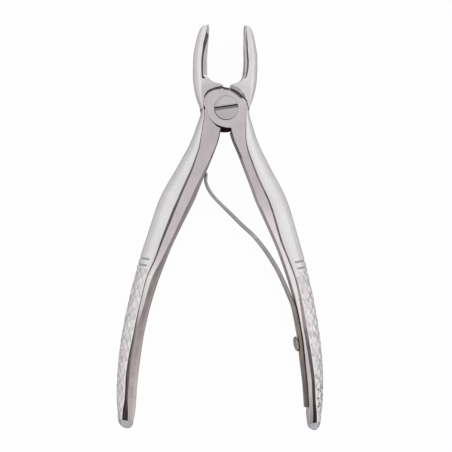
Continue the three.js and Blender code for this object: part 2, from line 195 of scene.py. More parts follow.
# gives a mesh its place, its materials and creases past an angle in degrees, and notes how far down its arm
# each point lies
def finished(made, rest, materials, crease=32):
    mesh = made.data
    closed = pointsOf(mesh)
    down = mesh.attributes.new("down", "FLOAT", "POINT")
    down.data.foreach_set("value", (-closed[:, 1]).astype(np.float32))
    mesh.vertices.foreach_set("co", rest(closed).ravel())
    zones = np.empty(len(mesh.polygons), np.int32)
    mesh.polygons.foreach_get("material_index", zones)
    mesh.materials.clear()
    for material in materials:
        mesh.materials.append(material)
    mesh.polygons.foreach_set("material_index", zones)
    mesh.polygons.foreach_set("use_smooth", np.ones(len(mesh.polygons), bool))
    mesh.set_sharp_from_angle(angle=math.radians(crease))
    mesh.update()


# zones of an arm, in the order of its materials; line, bevel and lap are painted shade, root is polished
# steel painted darker towards the crotch as shade, and rim is painted highlight
satin, polished, grip, line, bevel, band, lap, rimHighlight, cap, groove, root = range(11)

handles = {
    "length": 103, "reach": 18.2,
    "flank": 6, "bevel": 2.6, "bevelSlope": 0.58, "leastLand": 0.3, "browRound": 0.14, "edgeRound": 0.2,
    "endRound": 1.6, "endCap": 2.4,
    "gripLength": 52.4,
    "grooves": 2, "groovePitch": 2, "grooveWidth": 0.967, "grooveDepth": 0.3,
    "grooveEnd": (0.5, 1.9),        # a groove fades out between these, measured from the flank's edge
    "pipsAfter": 1, "pipsFade": 0.5, "pipsEnd": 1.6,    # from last groove to pips, then how they fade
    "pipAlong": 3.5, "pipAcross": 2.5, "pipDepth": 0.42, "pipUneven": 0.18,
    "pipRim": 0.35, "rimHighlightFade": 0.35, "rimHighlightWander": 0.25,  # plain rim between pips and the flank's edge
    # waves by which the grid of pips wanders: millimetres, phase for each millimetre down and around, start
    "wanderAlong": [(0.22, 0.83, 1.9, 0), (0.12, 2.3, 0, 0)],
    "wanderAcross": [(0.16, 1.37, 0, 0.7), (0.1, 0.6, 2.9, 0)],
    "unevenWaves": [(1, 1.7, 2.3, 0), (1, 0.9, -1.3, 0)],     # their product makes some pips higher
    "gripFrom": 0.05, "grooveFrom": 0.45,   # share of full depth from which a face is grip or groove
    "paintedShadeEdge": 16,                 # how far down the inner bevels are painted dark as shade
    "past": 2,                      # how far a handle runs on past the hinge, inside the joint
    "fineBefore": 1, "fineAfter": 4, "capStep": (0.02, 0.04),   # closer stations round grooves and cap
    "flankPoints": 34,
    # shares of length, then of reach or width
    "outer": [
        (-0.03, 0.415), (0, 0.402), (0.02, 0.393), (0.04, 0.392), (0.06, 0.412), (0.097, 0.441),
        (0.136, 0.49), (0.175, 0.561), (0.214, 0.633), (0.252, 0.711), (0.291, 0.781), (0.33, 0.828),
        (0.369, 0.856), (0.447, 0.911), (0.524, 0.961), (0.602, 0.992), (0.68, 1.003), (0.757, 0.995),
        (0.835, 0.958), (0.874, 0.924), (0.913, 0.886), (0.951, 0.833), (1, 0.74),
    ],
    "inner": [
        (-0.03, -0.02), (0.07, -0.02), (0.1, -0.015), (0.136, 0.022), (0.175, 0.063), (0.214, 0.11),
        (0.252, 0.155), (0.291, 0.198), (0.33, 0.258), (0.369, 0.321), (0.408, 0.381), (0.447, 0.436),
        (0.485, 0.477), (0.524, 0.516), (0.563, 0.548), (0.602, 0.574), (0.641, 0.592), (0.68, 0.6),
        (0.718, 0.604), (0.757, 0.595), (0.796, 0.582), (0.835, 0.568), (0.874, 0.548), (0.913, 0.52),
        (0.951, 0.501), (1, 0.501),
    ],
    "crestShares": [(-0.03, 0), (0.02, 0), (0.3, 1), (1, 1)],
    "endInsetShares": (0.85, 0.96),
}
# what differs between the two handles: how far the inner edge is set back and the outer one drawn in at the
# end, shares of flank and bevel, and the width of the step between flank and land in millimetres
rearSide = {
    "inset": 0.35, "endInset": 0,
    "setback": [(-0.03, 1.6), (0.07, 1.6), (0.12, 1.15), (0.16, 1), (1, 1)],
    "flankShares": [
        (-0.03, 0.06), (0.01, 0.08), (0.04, 0.15), (0.105, 0.35), (0.137, 0.475), (0.2, 0.65), (0.297, 0.81),
        (0.361, 0.76), (0.425, 0.71), (0.488, 0.68), (0.52, 0.61), (0.55, 0.555), (0.612, 0.555),
        (0.673, 0.55), (0.734, 0.54), (0.794, 0.47), (0.854, 0.42), (0.914, 0.385), (0.95, 0.26), (1, 0.08),
    ],
    "bevelShares": [
        (-0.03, 0.06), (0.07, 0.15), (0.14, 0.19), (0.2, 0.35), (0.297, 0.58), (0.361, 0.52), (0.425, 0.46),
        (0.488, 0.64), (0.52, 0.83), (0.55, 0.93), (0.612, 0.86), (0.673, 0.95), (0.734, 1.05),
        (0.794, 1.14), (0.854, 1.08), (0.914, 1.08), (0.97, 0.78), (1, 0.6),
    ],
    "step": [
        (-0.03, 0.15), (0.1, 0.2), (0.137, 0.35), (0.2, 0.6), (0.297, 0.85), (0.361, 0.95), (0.425, 0.7),
        (0.488, 0.5), (0.55, 0.4), (0.7, 0.4), (0.76, 0.6), (0.914, 0.7), (0.97, 1.15), (1, 1.15),
    ],
}
frontSide = {
    "inset": 1.3, "endInset": 0.12,
    "setback": [
        (-0.03, 0.45), (0.07, 0.49), (0.105, 0.75), (0.15, 1), (0.8, 1), (0.925, 1.25), (0.945, 0.95),
        (1, 0.8),
    ],
    "flankShares": [
        (-0.03, 0.1), (0.01, 0.12), (0.04, 0.26), (0.105, 0.6), (0.168, 0.76), (0.232, 0.88), (0.297, 0.93),
        (0.361, 0.93), (0.425, 0.92), (0.48, 0.83), (0.55, 0.72), (0.612, 0.7), (0.673, 0.7), (0.734, 0.68),
        (0.794, 0.62), (0.854, 0.54), (0.914, 0.47), (0.96, 0.32), (1, 0.2),
    ],
    "bevelShares": [
        (-0.03, 0.04), (0.07, 0.06), (0.13, 0.08), (0.2, 0.14), (0.3, 0.16), (0.43, 0.14), (0.6, 0.13),
        (0.72, 0.07), (1, 0.07),
    ],
    "step": [
        (-0.03, 0.1), (0.1, 0.2), (0.168, 0.5), (0.232, 0.6), (0.297, 0.55), (0.361, 0.6), (0.425, 0.62),
        (0.48, 0.5), (0.55, 0.55), (0.612, 0.8), (0.673, 1.05), (0.734, 1.05), (0.914, 0.9), (0.97, 1.2),
        (1, 1.2),
    ],
}


# line from which both handles' inner edges are set back, tool closed
def handleInner(down):
    return handles["reach"] * along(handles["inner"], np.asarray(down, float) / handles["length"])


# count points from start to end of a stretch, both (stations, 2), without the first
def stretch(start, end, count):
    t = np.linspace(0, 1, count + 1)[1:, None]
    return start[:, None] * (1 - t) + end[:, None] * t


# corner worn round: quadratic curve between the points that lie radius before and after it
def rounded(before, corner, after, radius, count=4):
    def towards(point):
        way = point - corner
        length = np.linalg.norm(way, axis=1, keepdims=True)
        return corner + way / np.maximum(length, 1e-6) * np.minimum(radius, length * 0.4)

    a, b = towards(before)[:, None], towards(after)[:, None]
    t = np.linspace(0, 1, count)[:, None]
    return (1 - t) ** 2 * a + 2 * t * (1 - t) * corner[:, None] + t**2 * b


# half outline (stations, around, 2) made whole by its mirror image below the middle plane
def wholeRings(half, y):
    lower = half[:, -2:0:-1] * np.array([1, -1])
    flat = np.concatenate([half, lower], axis=1)
    return ringsOf(flat[..., 0], y[:, None], flat[..., 1])


# zones of such rings, the same in each row: kinds, each for so many faces of the half outline
def zoneRows(kinds, counts, rows):
    half = np.repeat(kinds, counts)
    return np.tile(np.concatenate([half, half[::-1]]), (rows, 1))


# quarter of an oval about the point (x, 0), from its widest place up to its top; a width below zero turns it
# towards -x
def quarter(x, width, height, count):
    turn = np.linspace(0, math.pi / 2, count)
    return np.stack([
        x[:, None] + width[:, None] * np.cos(turn), height[:, None] * np.sin(turn),
    ], axis=-1)


# sum of waves, each size * sin(a * down + b * around + start)
def waves(table, down, around):
    return sum(size * np.sin(a * down + b * around + start) for size, a, b, start in table)


# raised pips of the rough grip, on a staggered grid that wanders a little: each pip is the root of
# |cos(pi (u + v)) cos(pi (u - v))|, with u along the grip and v around it, in pips
def pips(down, around):
    h = handles
    u = (down + waves(h["wanderAlong"], down, around)) / h["pipAlong"]
    v = (around + waves(h["wanderAcross"], down, around)) / h["pipAcross"]
    dome = np.sqrt(np.abs(np.cos(math.pi * (u + v)) * np.cos(math.pi * (u - v))))
    first, second = (waves([wave], down, around) for wave in h["unevenWaves"])
    return dome * (1 - h["pipUneven"] + h["pipUneven"] * (first * second))


# outward normals of rings, from the cross product of their two tangents
def normals(rings):
    across = np.roll(rings, -1, axis=1) - np.roll(rings, 1, axis=1)
    normal = np.cross(across, np.gradient(rings, axis=0))
    normal /= np.maximum(np.linalg.norm(normal, axis=2, keepdims=True), 1e-9)
    return normal * np.sign(normal[:, 0, 0].sum())


# stations down a handle: closer at the grooves and the grip, and round the end like the sine of a turn
def handleStations(firstGroove, capAt, roundAt):
    h = handles
    fineFrom, fineTo = firstGroove - h["fineBefore"], firstGroove + h["fineAfter"]
    before, after = h["capStep"]
    return np.concatenate([
        np.linspace(-h["past"], fineFrom, 80),
        np.linspace(fineFrom, fineTo, 44)[1:],
        np.linspace(fineTo, capAt - before, 170)[1:],
        np.linspace(capAt + after, roundAt, 4),
        roundAt + h["endRound"] * np.sin(np.linspace(0, math.pi / 2, 12)[1:-1]),
    ])


# rings of a handle: at each station a section of flank, step, land, bevel and inner face, drawn in towards
# its middle on a quarter circle at the end
def handleRings(side, down, capAt, roundAt):
    h = handles
    share = down / h["length"]
    outer = h["reach"] * along(h["outer"], share) - side["endInset"] * ease(*h["endInsetShares"], share)
    inner = handleInner(down) + halfGap + side["inset"] * straight(side["setback"], share)
    step = straight(side["step"], share)
    wantedFlank = h["flank"] * along(side["flankShares"], share)
    wantedBevel = h["bevel"] * along(side["bevelShares"], share)
    fit = np.minimum(1, (outer - inner - step - h["leastLand"]) / (wantedFlank + wantedBevel))
    flank, bevelRun = wantedFlank * fit, wantedBevel * fit
    crest = tool["land"] + (tool["crest"] - tool["land"]) * straight(h["crestShares"], share)
    land = np.where(down > capAt, crest, tool["land"])
    inside = tool["land"] - bevelRun * h["bevelSlope"]

    arc = quarter(outer - flank, flank, crest, h["flankPoints"])
    t = np.linspace(0, 1, 8)[1:]
    wall = np.stack([
        (outer - flank)[:, None] - step[:, None] * t,
        land[:, None] + (crest - land)[:, None] * (1 + np.cos(math.pi * t)) / 2,
    ], axis=-1)
    foot, brow = wall[:, -1], np.column_stack([inner + bevelRun, land])
    edge, base = np.column_stack([inner, inside]), np.column_stack([inner, 0 * inner])
    browCurve = rounded(foot, brow, edge, h["browRound"])
    edgeCurve = rounded(brow, edge, base, h["edgeRound"])
    half = np.concatenate([
        arc, wall, stretch(foot, browCurve[:, 0], 6), browCurve[:, 1:],
        stretch(browCurve[:, -1], edgeCurve[:, 0], 4), edgeCurve[:, 1:], stretch(edgeCurve[:, -1], base, 5),
    ], axis=1)

    past = np.maximum(0, down - roundAt)
    drawn = h["endRound"] - np.sqrt(np.maximum(0, h["endRound"] ** 2 - past**2))
    middle = ((outer + inner) / 2)[:, None]
    half[..., 0] = middle + (half[..., 0] - middle) * (1 - drawn / ((outer - inner) / 2))[:, None]
    half[..., 1] *= (1 - drawn / crest)[:, None]
    return wholeRings(half, -down)


# way around the flank from its outermost line, less than zero below the middle plane, and the way that is
# left to the flank's edge; both are zero on the rest of the rings
def aroundFlank(rings):
    count = handles["flankPoints"]
    gaps = np.linalg.norm(np.diff(rings[:, :count], axis=1), axis=2)
    reach = np.concatenate([np.zeros((len(rings), 1)), np.cumsum(gaps, axis=1)], axis=1)
    toEdge = reach[:, -1:] - reach
    around, edgeAway = np.zeros((2, *rings.shape[:2]))
    around[:, :count], edgeAway[:, :count] = reach, toEdge
    around[:, 1 - count:], edgeAway[:, 1 - count:] = -reach[:, :0:-1], toEdge[:, :0:-1]
    return around, edgeAway


# handle: its rings, with pips and grooves pressed in along the surface's own normals
def handle(name, side):
    h = handles
    firstGroove = h["length"] - h["gripLength"]
    capAt = h["length"] - h["endCap"]
    roundAt = h["length"] - h["endRound"]
    down = handleStations(firstGroove, capAt, roundAt)
    rings = handleRings(side, down, capAt, roundAt)
    around, edgeAway = aroundFlank(rings)
    d = down[:, None]
    pipsFrom = firstGroove + (h["grooves"] - 1) * h["groovePitch"] + h["pipsAfter"]
    rimAt = h["pipRim"] + h["rimHighlightWander"] * np.sin(2 * math.pi * d / h["pipAlong"])
    rough = ease(pipsFrom, pipsFrom + h["pipsFade"], d) * (1 - ease(capAt - h["pipsEnd"], capAt, d))
    rough = rough * ease(rimAt, rimAt + h["rimHighlightFade"], edgeAway)
    ringed = 0
    for n in range(h["grooves"]):
        centre = firstGroove + n * h["groovePitch"]
        dip = 0.5 + 0.5 * np.cos(math.pi * np.clip((d - centre) / (h["grooveWidth"] / 2), -1, 1))
        ringed = ringed + dip * ease(*h["grooveEnd"], edgeAway)
    depth = h["pipDepth"] * rough * (1 - pips(d, around)) + h["grooveDepth"] * ringed
    rings = rings - normals(rings) * depth[..., None]

    # the step between flank and land is painted shade, and the inner bevel is painted darker as shade, dark
    # near the joint
    zones = zoneRows([polished, line, satin, bevel], [h["flankPoints"] - 1, 7, 8, 13], len(down) - 1)
    mid = (down[1:] + down[:-1])[:, None] / 2
    isFlank = zones == polished
    # the plain flank past the grip's start is polished steel painted lighter as a highlight
    zones = np.where(isFlank & (mid > pipsFrom), rimHighlight, zones)
    zones = np.where(isFlank & (rough[1:] > h["gripFrom"]), grip, zones)
    zones = np.where(isFlank & (ringed[1:] > h["grooveFrom"]), groove, zones)
    zones = np.where((zones == bevel) & (mid < h["paintedShadeEdge"]), line, zones)
    zones = np.where(mid > capAt, cap, zones)
    return skin(name, rings, zones, (lap, cap))


beaks = {
    "length": 26.2, "reach": 8.3, "tipHalfDepth": 2.3,
    "flank": 2.4, "bandDrop": 0.8, "lineDrop": 0.45, "gouge": 1.3, "browRound": 0.22,
    "serration": 0.07, "serrationPitch": 0.8,
    # shares of length where a beak starts, leaves the other beak, is fully hollow and starts to round off
    "stationShares": (-0.06, 0.27, 0.44, 0.96),
    "taperFrom": 0.28, "taperPower": 1.3, "bandFrom": 0.376, "bandFade": 0.04, "tipFrom": 0.86,
    "teethFrom": (0.6, 0.66), "teethTo": (0.95, 0.99),
    "flankRoom": 0.48,              # most of the width that the flank may take
    # shares of length, then of reach or width
    "outer": [
        (-0.06, 0.885), (0.02, 0.893), (0.075, 0.92), (0.13, 0.964), (0.19, 0.99), (0.25, 1.006),
        (0.32, 1.008), (0.38, 1), (0.45, 0.97), (0.53, 0.93), (0.6, 0.888), (0.68, 0.834), (0.75, 0.757),
        (0.81, 0.686), (0.87, 0.608), (0.92, 0.532), (0.96, 0.452), (0.985, 0.38), (1, 0.305),
    ],
    "inner": [
        (-0.06, 0), (0.27, 0), (0.29, 0.055), (0.305, 0.17), (0.325, 0.285), (0.355, 0.39), (0.39, 0.437),
        (0.42, 0.447), (0.47, 0.434), (0.53, 0.408), (0.6, 0.368), (0.68, 0.308), (0.75, 0.256),
        (0.83, 0.192), (0.9, 0.138), (0.95, 0.105), (1, 0.1),
    ],
    "flankShares": [(-0.06, 0.2), (0.02, 0.22), (0.2, 0.6), (0.4, 1), (0.75, 0.95), (0.92, 0.6), (1, 0.2)],
    "gougeShares": [(-0.06, 0.02), (0.36, 0.02), (0.5, 0.75), (0.7, 1), (0.88, 0.8), (0.96, 0.4), (1, 0.1)],
}
# what differs between the two beaks: width of the hollow-ground band with its dark edge, which is painted
# shade, how far the beak and its tip stand off their place, how far its inner edge is set back, and the
# shares of the band's width that are there and that are painted dark as shade
frontBeak = {
    "band": 2.15, "shift": -0.25, "tipShift": 0.0, "inset": [(0.27, -0.3), (0.3, 0)],
    "bandShares": [
        (-0.06, 0.03), (0.31, 0.03), (0.345, 0.4), (0.37, 0.92), (0.39, 1.08), (0.43, 1), (0.6, 1),
        (0.8, 0.85), (0.9, 0.6), (0.96, 0.4), (1, 0.2),
    ],
    "lineShares": [
        (-0.06, 0.62), (0.385, 0.58), (0.41, 0.36), (0.6, 0.38), (0.7, 0.48), (0.8, 0.72), (0.88, 0.85),
        (0.93, 0.3), (1, 0.1),
    ],
}
rearBeak = {
    "band": 1.3, "shift": 0.25, "tipShift": -0.08,
    "inset": [(0.27, 0.6), (0.285, 0.5), (0.3, 0.25), (0.33, 0), (0.72, 0), (0.88, 0.33), (1, 0.3)],
    "bandShares": [
        (-0.06, 0.03), (0.31, 0.03), (0.345, 0.3), (0.37, 0.55), (0.39, 0.66), (0.43, 0.8), (0.5, 0.95),
        (0.6, 1), (0.8, 0.85), (0.9, 0.6), (0.96, 0.4), (1, 0.2),
    ],
    "lineShares": [(-0.06, 0.75), (0.385, 0.7), (0.41, 0.6), (0.5, 0.5), (0.85, 0.5), (0.93, 0.3), (1, 0.1)],
}


# beak: a section of rounded flank, front face, dark edge, band and hollow carried up to the tip
def beak(name, side):
    b = beaks
    start, free, hollowed, tip = b["stationShares"]
    share = np.concatenate([
        np.linspace(start, free, 24), np.linspace(free, hollowed, 44)[1:], np.linspace(hollowed, tip, 90)[1:],
        1 - (1 - tip) * np.cos(np.linspace(0, math.pi / 2, 14)[1:]),
    ])
    up = share * b["length"]
    outer = b["reach"] * along(b["outer"], share)
    inner = halfGap + b["reach"] * along(b["inner"], share) + straight(side["inset"], share)
    taper = np.maximum(0, (share - b["taperFrom"]) / (1 - b["taperFrom"]))
    depth = tool["crest"] + (b["tipHalfDepth"] - tool["crest"]) * taper ** b["taperPower"]
    room = outer - inner
    bandRun = np.minimum(side["band"] * straight(side["bandShares"], share), room / 2)
    flank = np.minimum(b["flank"] * along(b["flankShares"], share), room * b["flankRoom"])
    gouge = np.minimum(b["gouge"] * along(b["gougeShares"], share), room / 2)
    lower = depth - b["lineDrop"] * bandRun / side["band"]
    rimHeight = depth - b["bandDrop"] * bandRun / side["band"]

    arc = quarter(flank - outer, -flank, depth, 18)
    brow = np.column_stack([-inner - bandRun, depth])
    foot = np.column_stack([-inner - bandRun * (1 - straight(side["lineShares"], share)), lower])
    edge = np.column_stack([-inner, rimHeight])
    browCurve = rounded(arc[:, -1], brow, foot, b["browRound"], 5)
    sweep = np.linspace(0, math.pi / 2, 20)[1:]
    hollow = np.stack([
        -inner[:, None] - gouge[:, None] * np.sin(sweep),
        rimHeight[:, None] * np.cos(sweep),
    ], axis=-1)
    hollow[:, -1, 1] = 0
    toothed = ease(*b["teethFrom"], share) * (1 - ease(*b["teethTo"], share))
    ridge = b["serration"] * toothed * np.cos(2 * math.pi * up / b["serrationPitch"])
    hollow[..., 0] += ridge[:, None] * np.sin(sweep)
    half = np.concatenate([
        arc, stretch(arc[:, -1], browCurve[:, 0], 5), browCurve[:, 1:],
        stretch(browCurve[:, -1], foot, 4), stretch(foot, edge, 5), hollow,
    ], axis=1)
    half[..., 0] += (side["shift"] + side["tipShift"] * ease(b["tipFrom"], 1, share))[:, None]

    # up to where the band starts, all but the flank is beak root, and the front face above that is polished
    # the beak's root is painted darker towards the crotch as shade, and the band's dark edge is painted shade
    kinds = zoneRows([polished, root, line, band], [17, 9, 4, 24], len(share) - 1)
    above = (share[1:] + share[:-1])[:, None] / 2 - b["bandFrom"]
    plain = (kinds == root) | (kinds == band) & (above < b["bandFade"])
    zones = np.where(above < 0, np.where(kinds == polished, polished, root), np.where(plain, polished, kinds))
    return skin(name, wholeRings(half, up), zones, (lap, polished))


joint = {
    "frontDisc": 6.02, "rearDisc": 7.55, "throatFloor": 6.3, "shoulderGap": 0.25,
    "waist": math.radians(-5), "waistGap": 0.03,
    "bore": 2.3, "over": 2.0, "wide": 60,
    "headSeatGap": (0.02, 0.2), "headSeatWide": math.radians(-125), "headSink": 1.8,  # widest that way
    "facingLap": 0.5, "facingOver": 0.2,
    "facingFoot": (0.5, 0.16),      # where the facing's wall steepens: share of its width, then height
    "paintedShadeWall": 0.25, "leastBevel": 0.13,   # a wall is painted dark as shade from this width on, and a bevel shows
    "bevelSlope": 0.85, "rearBevel": 0.12,
    # round the front disc: the gap, and the width from which it is painted dark as shade
    "gap": 0.03, "paintedShadeGap": 0.12,
    # the values and tables below run over degrees about the hinge, tool closed
    "gapGrows": ((0.12, 35, 55), (0.4, 55, 80)),    # by how much, from where and to where
    "paintedShadeBevel": 72,                # the front disc's bevel is painted dark as shade from here on, over the crotch
    "facing": [                     # radius of the ground facing
        (0, 6.75), (88, 5.97), (100, 5.98), (108, 6.25), (117, 6.6), (129, 7.02), (144, 7.35), (154, 7.25),
        (163, 7.1), (175, 7.0), (180, 6.75),
    ],
    "facingRise": [                 # width of the wall round it
        (0, 0.1), (84, 0.7), (95, 0.9), (106, 0.9), (117, 0.7), (132, 0.8), (152, 0.1),
    ],
    "discBevel": [
        (0, 0.05), (8, 0.1), (18, 0.6), (28, 0.95), (40, 1.02), (52, 1.02), (62, 0.9), (75, 0.68), (86, 0.5),
        (95, 0.3), (103, 0.05),
    ],
    # ledge round the front disc in the rear beak's root: its outer edge beyond the disc, then the slope of
    # its outer wall, its inner edge, the width of its step and how far step and inner edge lie down
    "ledge": [(88, 0.8), (95, 1.0), (106, 1.06), (120, 1.02), (133, 0.85), (143, 0.65), (150, 0.3)],
    "ledgeSlope": 0.15, "ledgeInner": 0.1, "ledgeStep": 0.45, "ledgeDrop": (0.5, 0.85),
    # radius of the front disc's shoulder beside the rear beak, and of what clears it
    "shoulder": [(-16, 6.9), (-8, 6.68), (1.6, 6.5), (8, 6.5), (12, 6.35), (17, 6.12), (22, 5.9)],
    "shoulderRoom": [(139, 6.2), (148, 6.7), (158, 6.68), (168, 6.88), (175, 7.08), (186, 7.3)],
    # corners (x, y) of the web that carries the front disc's edge over the crotch, and of the waist's pit
    "web": [(-1.95, -5.2), (-1.9, -5.72), (-0.84, -6.1), (0.46, -6.38), (1.7, -6.6), (1.7, -5.0)],
    "pit": [(-6.75, 1.95), (-7.12, 0.7), (-6.38, 0.45)],
    "pitDepth": 1.2,
}
deep = tool["crest"] + joint["over"]    # how far cuts reach from the middle plane
lapFace = tool["lapGap"] / 2            # middle plane to the face that either disc turns on


# half-round block about the hinge axis, from an angle through half a turn, through the whole depth
def halfTurn(name, start):
    angle = np.linspace(start, start + math.pi, 81)
    outline = np.column_stack([np.cos(angle), np.sin(angle)]) * joint["wide"]
    return prism(name, outline, -deep, deep, satin)


# round bar on the hinge axis
def bar(name, radius, low, high, wallZone=line, floorZone=line):
    return turned(name, [(radius, low), (radius, high)], [wallZone], (floorZone, floorZone))


# table over degrees, read at every angle of anything turned
def allRound(table):
    return straight(table, np.degrees(turnAngles))


# sector about the hinge axis out to a curve through points of (degrees, radius)
def sector(name, points, low, high, zone):
    points = np.array(points, float)
    angle = np.linspace(points[0, 0], points[-1, 0], 60)
    radius = np.interp(angle, points[:, 0], points[:, 1])
    way = np.radians(angle)
    outline = [(0, 0), *np.column_stack([radius * np.cos(way), radius * np.sin(way)])]
    return prism(name, outline, low, high, zone)


# arm in its closed frame: handle and beak kept on their own sides of the waist, the other arm's room cut from
# one half of the depth, a facing ground round the screw with a wall that widens towards the top, and the disc
def arm(name, handleSide, beakSide, pocket, disc):
    j, land = joint, tool["land"]
    play = j["waistGap"] / 2 / j["rearDisc"]
    handleCut = j["waist"] - tool["openHalf"] - play
    beakCut = math.pi - j["waist"] - tool["openHalf"] - play
    made = shaped(handle(name, handleSide), ("DIFFERENCE", halfTurn("waistCut", handleCut)))
    upper = shaped(beak("upper", beakSide), ("DIFFERENCE", halfTurn("waistCut", beakCut)))
    rise, ground = allRound(j["facingRise"]), allRound(j["facing"])
    # the facing's wall is painted dark as shade where it is wide
    wall = np.where(rise > j["paintedShadeWall"], line, satin)
    footShare, footHeight = j["facingFoot"]
    facing = turned("facing", [
        (ground - j["facingLap"], land), (ground, land), (ground + rise * footShare, land + footHeight),
        (ground + rise, tool["crest"]), (ground + rise + j["facingOver"], deep),
    ], [satin, wall, wall, wall], (satin, satin))
    return shaped(
        made, ("UNION", upper), *[("DIFFERENCE", cut) for cut in pocket], ("DIFFERENCE", facing),
        ("UNION", disc), ("DIFFERENCE", bar("bore", j["bore"], -deep, deep, lap, lap)),
    )


# half-depth disc with a bevel of about 40 degrees round its edge, as wide as bevelRow says, and cut straight
# at the top
def discBody(radius, top, bevelRow):
    land, wide = tool["land"], joint["wide"]
    # the bevel is painted darker as shade, and dark as shade over the crotch; the lap faces are painted near
    # black as shade and the face cut at the top dark as shade
    kind = np.where(np.degrees(turnAngles) > joint["paintedShadeBevel"], line, bevel)
    made = turned("disc", [
        (radius, lapFace), (radius, land - bevelRow * joint["bevelSlope"]), (radius - bevelRow, land),
    ], [lap, np.where(bevelRow < joint["leastBevel"], satin, kind)], (lap, satin))
    cut = prism("top", [(-wide, top), (wide, top), (wide, wide), (-wide, wide)], -deep, deep, line)
    return shaped(made, ("DIFFERENCE", cut))


surfaces = {  # linear colours, lighter and darker, then roughness, its spread, brushing depth, mottling size
    "satin": ((0.615, 0.557, 0.58), (0.555, 0.497, 0.52), 0.34, 0.08, 0.2, 260),
    "polished": ((0.76, 0.74, 0.74), (0.70, 0.68, 0.685), 0.2, 0.07, 0.08, 140),
    "grip": ((0.88, 0.845, 0.845), (0.72, 0.685, 0.69), 0.24, 0.08, 0.12, 900),
    # line: near-black steel painted into steps, walls and gaps as their shade
    "line": ((0.12, 0.105, 0.11), (0.075, 0.065, 0.07), 0.4, 0.1, 0.2, 400),
    # bevel: the land's satin steel painted darker, as shade
    "bevel": ((0.36, 0.315, 0.315), (0.27, 0.235, 0.235), 0.3, 0.08, 0.25, 300),
    "band": ((0.52, 0.495, 0.50), (0.42, 0.40, 0.405), 0.3, 0.08, 0.2, 300),
    "groove": ((0.50, 0.475, 0.48), (0.40, 0.38, 0.385), 0.3, 0.08, 0.2, 300),
    # lap: near black, painted shade in the joint's deep recesses, bores and pit
    "lap": ((0.035, 0.014, 0.02), (0.015, 0.008, 0.01), 0.5, 0.1, 0.2, 400),
    # rim: polished steel painted lighter, as a highlight
    "rimHighlight": ((0.84, 0.80, 0.795), (0.74, 0.70, 0.70), 0.2, 0.06, 0.1, 300),
    "cap": ((0.50, 0.50, 0.53), (0.42, 0.42, 0.45), 0.26, 0.08, 0.15, 300),
    "screw": ((0.50, 0.475, 0.48), (0.465, 0.44, 0.445), 0.3, 0.08, 0.2, 300),
    # slot floor: painted shade in the screws' slots
    "slotPaintedShade": ((0.26, 0.24, 0.24), (0.17, 0.155, 0.155), 0.4, 0.1, 0.2, 300),
    "leaf": ((0.40, 0.39, 0.375), (0.31, 0.305, 0.295), 0.28, 0.08, 0.2, 300),
    "dome": ((0.36, 0.34, 0.335), (0.26, 0.245, 0.24), 0.3, 0.08, 0.2, 300),
}
# the beak's root is polished steel that its table paints darker towards the crotch, as shade
surfaces["root"] = surfaces["polished"]
steelLook = {
    "edgeOn": (0.62, 0.6, 0.61, 1),         # darker where it is seen edge on
    "brushScale": 5000, "brushLonger": 16, "brushTint": (0.8, 0.79, 0.79, 1), "brushShare": 0.35,
    "brushHeight": 0.00002,
    "wornFrom": (0.52, 0.6), "wornShare": 0.5, "wornLift": 1.3, "wornMost": 0.88,   # by how it bulges
    "roughScale": 0.6,                      # size of the patches of roughness against those of colour
}
gripLook = {
    "dullAndHollowShade": 0.6, "patchScale": 430, "patchFrom": (0.35, 0.7), "patchShare": 0.4,
    "hollowFrom": (0.42, 0.5), "hollowShadeShare": 0.75,         # painted shade between the pips, by how far it is hollow
    # pits: near-black spots painted as shade in the grip
    "pitScale": 760, "pitFrom": (0.16, 0.4), "pitShare": 0.9, "pitShadeColour": (0.08, 0.065, 0.07, 1),
}
# how the two arms are finished and where light and shade are painted on them: the lean of their brushing,
# what lifts the colours of land, dark line, bevel and polished flank, so that the arms carry lit and shaded
# copies of the same steel, then tables over millimetres down the arm of the painted light and shade of land,
# line, beak's root and bevel, and of how much the pits of the grip show
rearFinishAndPaintedLight = {
    "lean": math.radians(-16), "landLift": 1.5, "lineLift": 5, "bevelLift": 1.4, "flankLift": 1,
    "land": [
        (0, 0.62), (10, 0.6), (30, 0.67), (44, 0.67), (50, 0.75), (56, (0.93, 1.0, 0.95)),
        (62, (0.8, 0.86, 0.81)), (67, 0.7), (72, 0.36), (80, 0.24), (92, (0.16, 0.13, 0.13)),
        (99, (0.05, 0.04, 0.04)), (103, 0.03),
    ],
    "line": [
        (0, 0.2), (8, 0.3), (48, 0.3), (53, 0.34), (57, 0.75), (64, 0.75), (69, 0.5), (76, 0.3), (85, 0.22),
        (95, 0.12), (103, 0.07),
    ],
    "pits": [(0, 0), (103, 0)],
    "root": [(-10.2, 1), (-8.9, 0.96), (-7.4, 0.92), (0, 0.9)],
    "bevel": [(0, 0.54), (48, 0.54), (60, 0.56), (74, 0.68), (84, 0.82), (92, 0.96), (103, 1)],
}
